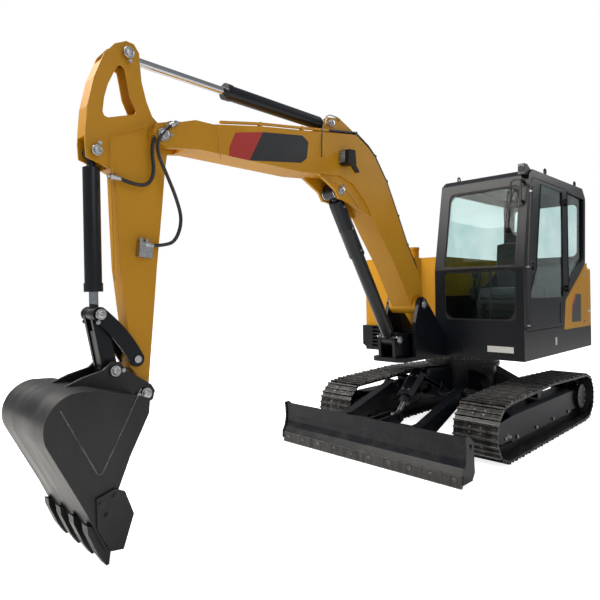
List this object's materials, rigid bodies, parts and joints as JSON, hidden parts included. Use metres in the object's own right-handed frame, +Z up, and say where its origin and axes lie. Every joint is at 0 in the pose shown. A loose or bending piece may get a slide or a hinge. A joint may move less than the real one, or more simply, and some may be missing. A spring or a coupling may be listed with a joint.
{
  "type": "crawler excavator",
  "caption": "Compact crawler excavator with a swing cab, dozer blade, one-piece boom, arm and digging bucket.",
  "frame": {"origin": "on the ground, below the middle of the machine's overall box, on the undercarriage's mid-plane", "axes": "+Z up, forward is -Y towards the bucket, +X to the machine's left, where the cab stands"},
  "size_m": [1.97, 6.2071, 2.9697],
  "materials": {
    "yellow_paint": "semi gloss",
    "yellow_casting": "painted",
    "dark_paint": "semi matt",
    "cylinder_paint": "semi gloss",
    "chrome_rod": "polished",
    "bare_steel": "worn",
    "glass": "clear",
    "seat_fabric": "woven",
    "engine_iron": "painted",
    "black_plastic": "matt"
  },
  "bodies": {
    "undercarriage": {"blade_pins": "bare_steel", "carrier_roller_left": "dark_paint", "carrier_roller_right": "dark_paint", "center_frame": "dark_paint", "idler_left": "dark_paint", "idler_right": "dark_paint", "rollers_left": "dark_paint", "rollers_right": "dark_paint", "slew_ring": "bare_steel", "sprocket_left": "dark_paint", "sprocket_right": "dark_paint", "track_frame_left": "dark_paint", "track_frame_right": "dark_paint", "track_left": "bare_steel", "track_right": "bare_steel"},
    "blade": {"dozer_blade": "dark_paint", "cutting_edge": "bare_steel"},
    "blade_cylinder_barrel": {"blade_cylinder_barrel": "cylinder_paint", "blade_cylinder_guard": "cylinder_paint"},
    "blade_cylinder_rod": {"blade_cylinder_rod": "chrome_rod"},
    "engine_hood": {"engine_hood": "yellow_paint"},
    "cab_door": {"cab_door": "dark_paint", "door_glass": "glass", "door_handle": "black_plastic"},
    "boom": {"boom": "yellow_paint", "boom_pins": "bare_steel", "boom_pipes": "bare_steel", "boom_lamp": "dark_paint"},
    "boom_cylinder_barrel": {"boom_cylinder_barrel": "cylinder_paint"},
    "boom_cylinder_rod": {"boom_cylinder_rod": "chrome_rod"},
    "arm": {"arm": "yellow_paint", "arm_pins": "bare_steel", "arm_valve": "dark_paint"},
    "arm_cylinder_barrel": {"arm_cylinder_barrel": "cylinder_paint"},
    "arm_cylinder_rod": {"arm_cylinder_rod": "chrome_rod"},
    "bucket": {"bucket_shell": "bare_steel", "bucket_teeth": "bare_steel", "side_cutters": "bare_steel", "bucket_pins": "bare_steel"},
    "bucket_cylinder_barrel": {"bucket_cylinder_barrel": "cylinder_paint"},
    "bucket_cylinder_rod": {"bucket_cylinder_rod": "chrome_rod"},
    "rocker": {"rocker_links": "dark_paint"},
    "bucket_link": {"bucket_link": "dark_paint"},
    "upper": {"cab_fittings": "black_plastic", "cab_frame": "dark_paint", "cab_glass": "glass", "consoles": "black_plastic", "counterweight": "yellow_casting", "engine": "engine_iron", "filler_neck": "yellow_paint", "grille_box": "dark_paint", "operator_seat": "seat_fabric", "right_hood": "yellow_paint", "side_cover": "yellow_paint", "upper_frame": "dark_paint", "upper_pins": "bare_steel"}
  },
  "joints": [
    {"name": "slew", "type": "hinge", "parent": "undercarriage", "child": "upper", "pos_m": [0, 1.404, 0.785], "axis": [0, 0, 1], "continuous": true},
    {"name": "boom_hinge", "type": "hinge", "parent": "upper", "child": "boom", "pos_m": [-0.078, 0.431, 1.347], "axis": [-1, 0, 0], "range_deg": [-50, 35]},
    {"name": "boom_barrel_hinge", "type": "hinge", "parent": "upper", "child": "boom_cylinder_barrel", "pos_m": [-0.078, 0.148, 1.017], "axis": [-1, 0, 0], "range_deg": [-48, 33.75]},
    {"name": "boom_rod_slide", "type": "slide", "parent": "boom_cylinder_barrel", "child": "boom_cylinder_rod", "axis": [0, -0.5291, 0.8485], "range_m": [-0.3423, 0.2402]},
    {"name": "arm_hinge", "type": "hinge", "parent": "boom", "child": "arm", "pos_m": [-0.078, -2.33973, 2.44401], "axis": [1, 0, 0], "range_deg": [-78, 34]},
    {"name": "arm_barrel_hinge", "type": "hinge", "parent": "boom", "child": "arm_cylinder_barrel", "pos_m": [-0.078, -0.76377, 2.87944], "axis": [1, 0, 0], "range_deg": [-1.28, 0.84]},
    {"name": "arm_rod_slide", "type": "slide", "parent": "arm_cylinder_barrel", "child": "arm_cylinder_rod", "axis": [0, -1, 0.0077], "range_m": [-0.5602, 0.2453]},
    {"name": "bucket_hinge", "type": "hinge", "parent": "arm", "child": "bucket", "pos_m": [-0.078, -2.46274, 0.89489], "axis": [1, 0, 0], "range_deg": [-20, 120]},
    {"name": "rocker_hinge", "type": "hinge", "parent": "arm", "child": "rocker", "pos_m": [-0.078, -2.49791, 1.0963], "axis": [1, 0, 0], "range_deg": [-16.1, 94.1]},
    {"name": "bucket_link_hinge", "type": "hinge", "parent": "bucket", "child": "bucket_link", "pos_m": [-0.078, -2.64985, 1.04727], "axis": [1, 0, 0], "range_deg": [-82.1, 14.1]},
    {"name": "bucket_barrel_hinge", "type": "hinge", "parent": "arm", "child": "bucket_cylinder_barrel", "pos_m": [-0.078, -2.73167, 2.28353], "axis": [1, 0, 0], "range_deg": [-5.3, 1.3]},
    {"name": "bucket_rod_slide", "type": "slide", "parent": "bucket_cylinder_barrel", "child": "bucket_cylinder_rod", "axis": [0, 0.0136, -0.9999], "range_m": [-0.0844, 0.4963]},
    {"name": "blade_hinge", "type": "hinge", "parent": "undercarriage", "child": "blade", "pos_m": [0, 0.624, 0.49], "axis": [-1, 0, 0], "range_deg": [-20, 25]},
    {"name": "blade_barrel_hinge", "type": "hinge", "parent": "undercarriage", "child": "blade_cylinder_barrel", "pos_m": [0, 0.567, 0.664], "axis": [-1, 0, 0], "range_deg": [-18.9, 23.5]},
    {"name": "blade_rod_slide", "type": "slide", "parent": "blade_cylinder_barrel", "child": "blade_cylinder_rod", "axis": [0, -0.7861, -0.618], "range_m": [-0.0762, 0.0613]},
    {"name": "cab_door_hinge", "type": "hinge", "parent": "upper", "child": "cab_door", "pos_m": [0.942, 1.989, 1.9], "axis": [0, 0, 1], "range_deg": [0, 150]},
    {"name": "engine_hood_hinge", "type": "hinge", "parent": "upper", "child": "engine_hood", "pos_m": [0, 2.709, 1.786], "axis": [1, 0, 0], "range_deg": [0, 55]}
  ],
  "couplings": [
    {"joint": "boom_barrel_hinge", "follows": "boom_hinge", "ratio": 0.95},
    {"joint": "boom_rod_slide", "follows": "boom_hinge", "m_per_rad": 0.39},
    {"joint": "arm_barrel_hinge", "follows": "arm_hinge", "ratio": 0.01},
    {"joint": "arm_rod_slide", "follows": "arm_hinge", "m_per_rad": 0.41},
    {"joint": "rocker_hinge", "follows": "bucket_hinge", "ratio": 0.78},
    {"joint": "bucket_link_hinge", "follows": "bucket_hinge", "ratio": -0.68},
    {"joint": "bucket_barrel_hinge", "follows": "bucket_hinge", "ratio": -0.04},
    {"joint": "bucket_rod_slide", "follows": "bucket_hinge", "m_per_rad": 0.236},
    {"joint": "blade_barrel_hinge", "follows": "blade_hinge", "ratio": 0.92},
    {"joint": "blade_rod_slide", "follows": "blade_hinge", "m_per_rad": -0.17}
  ]
}
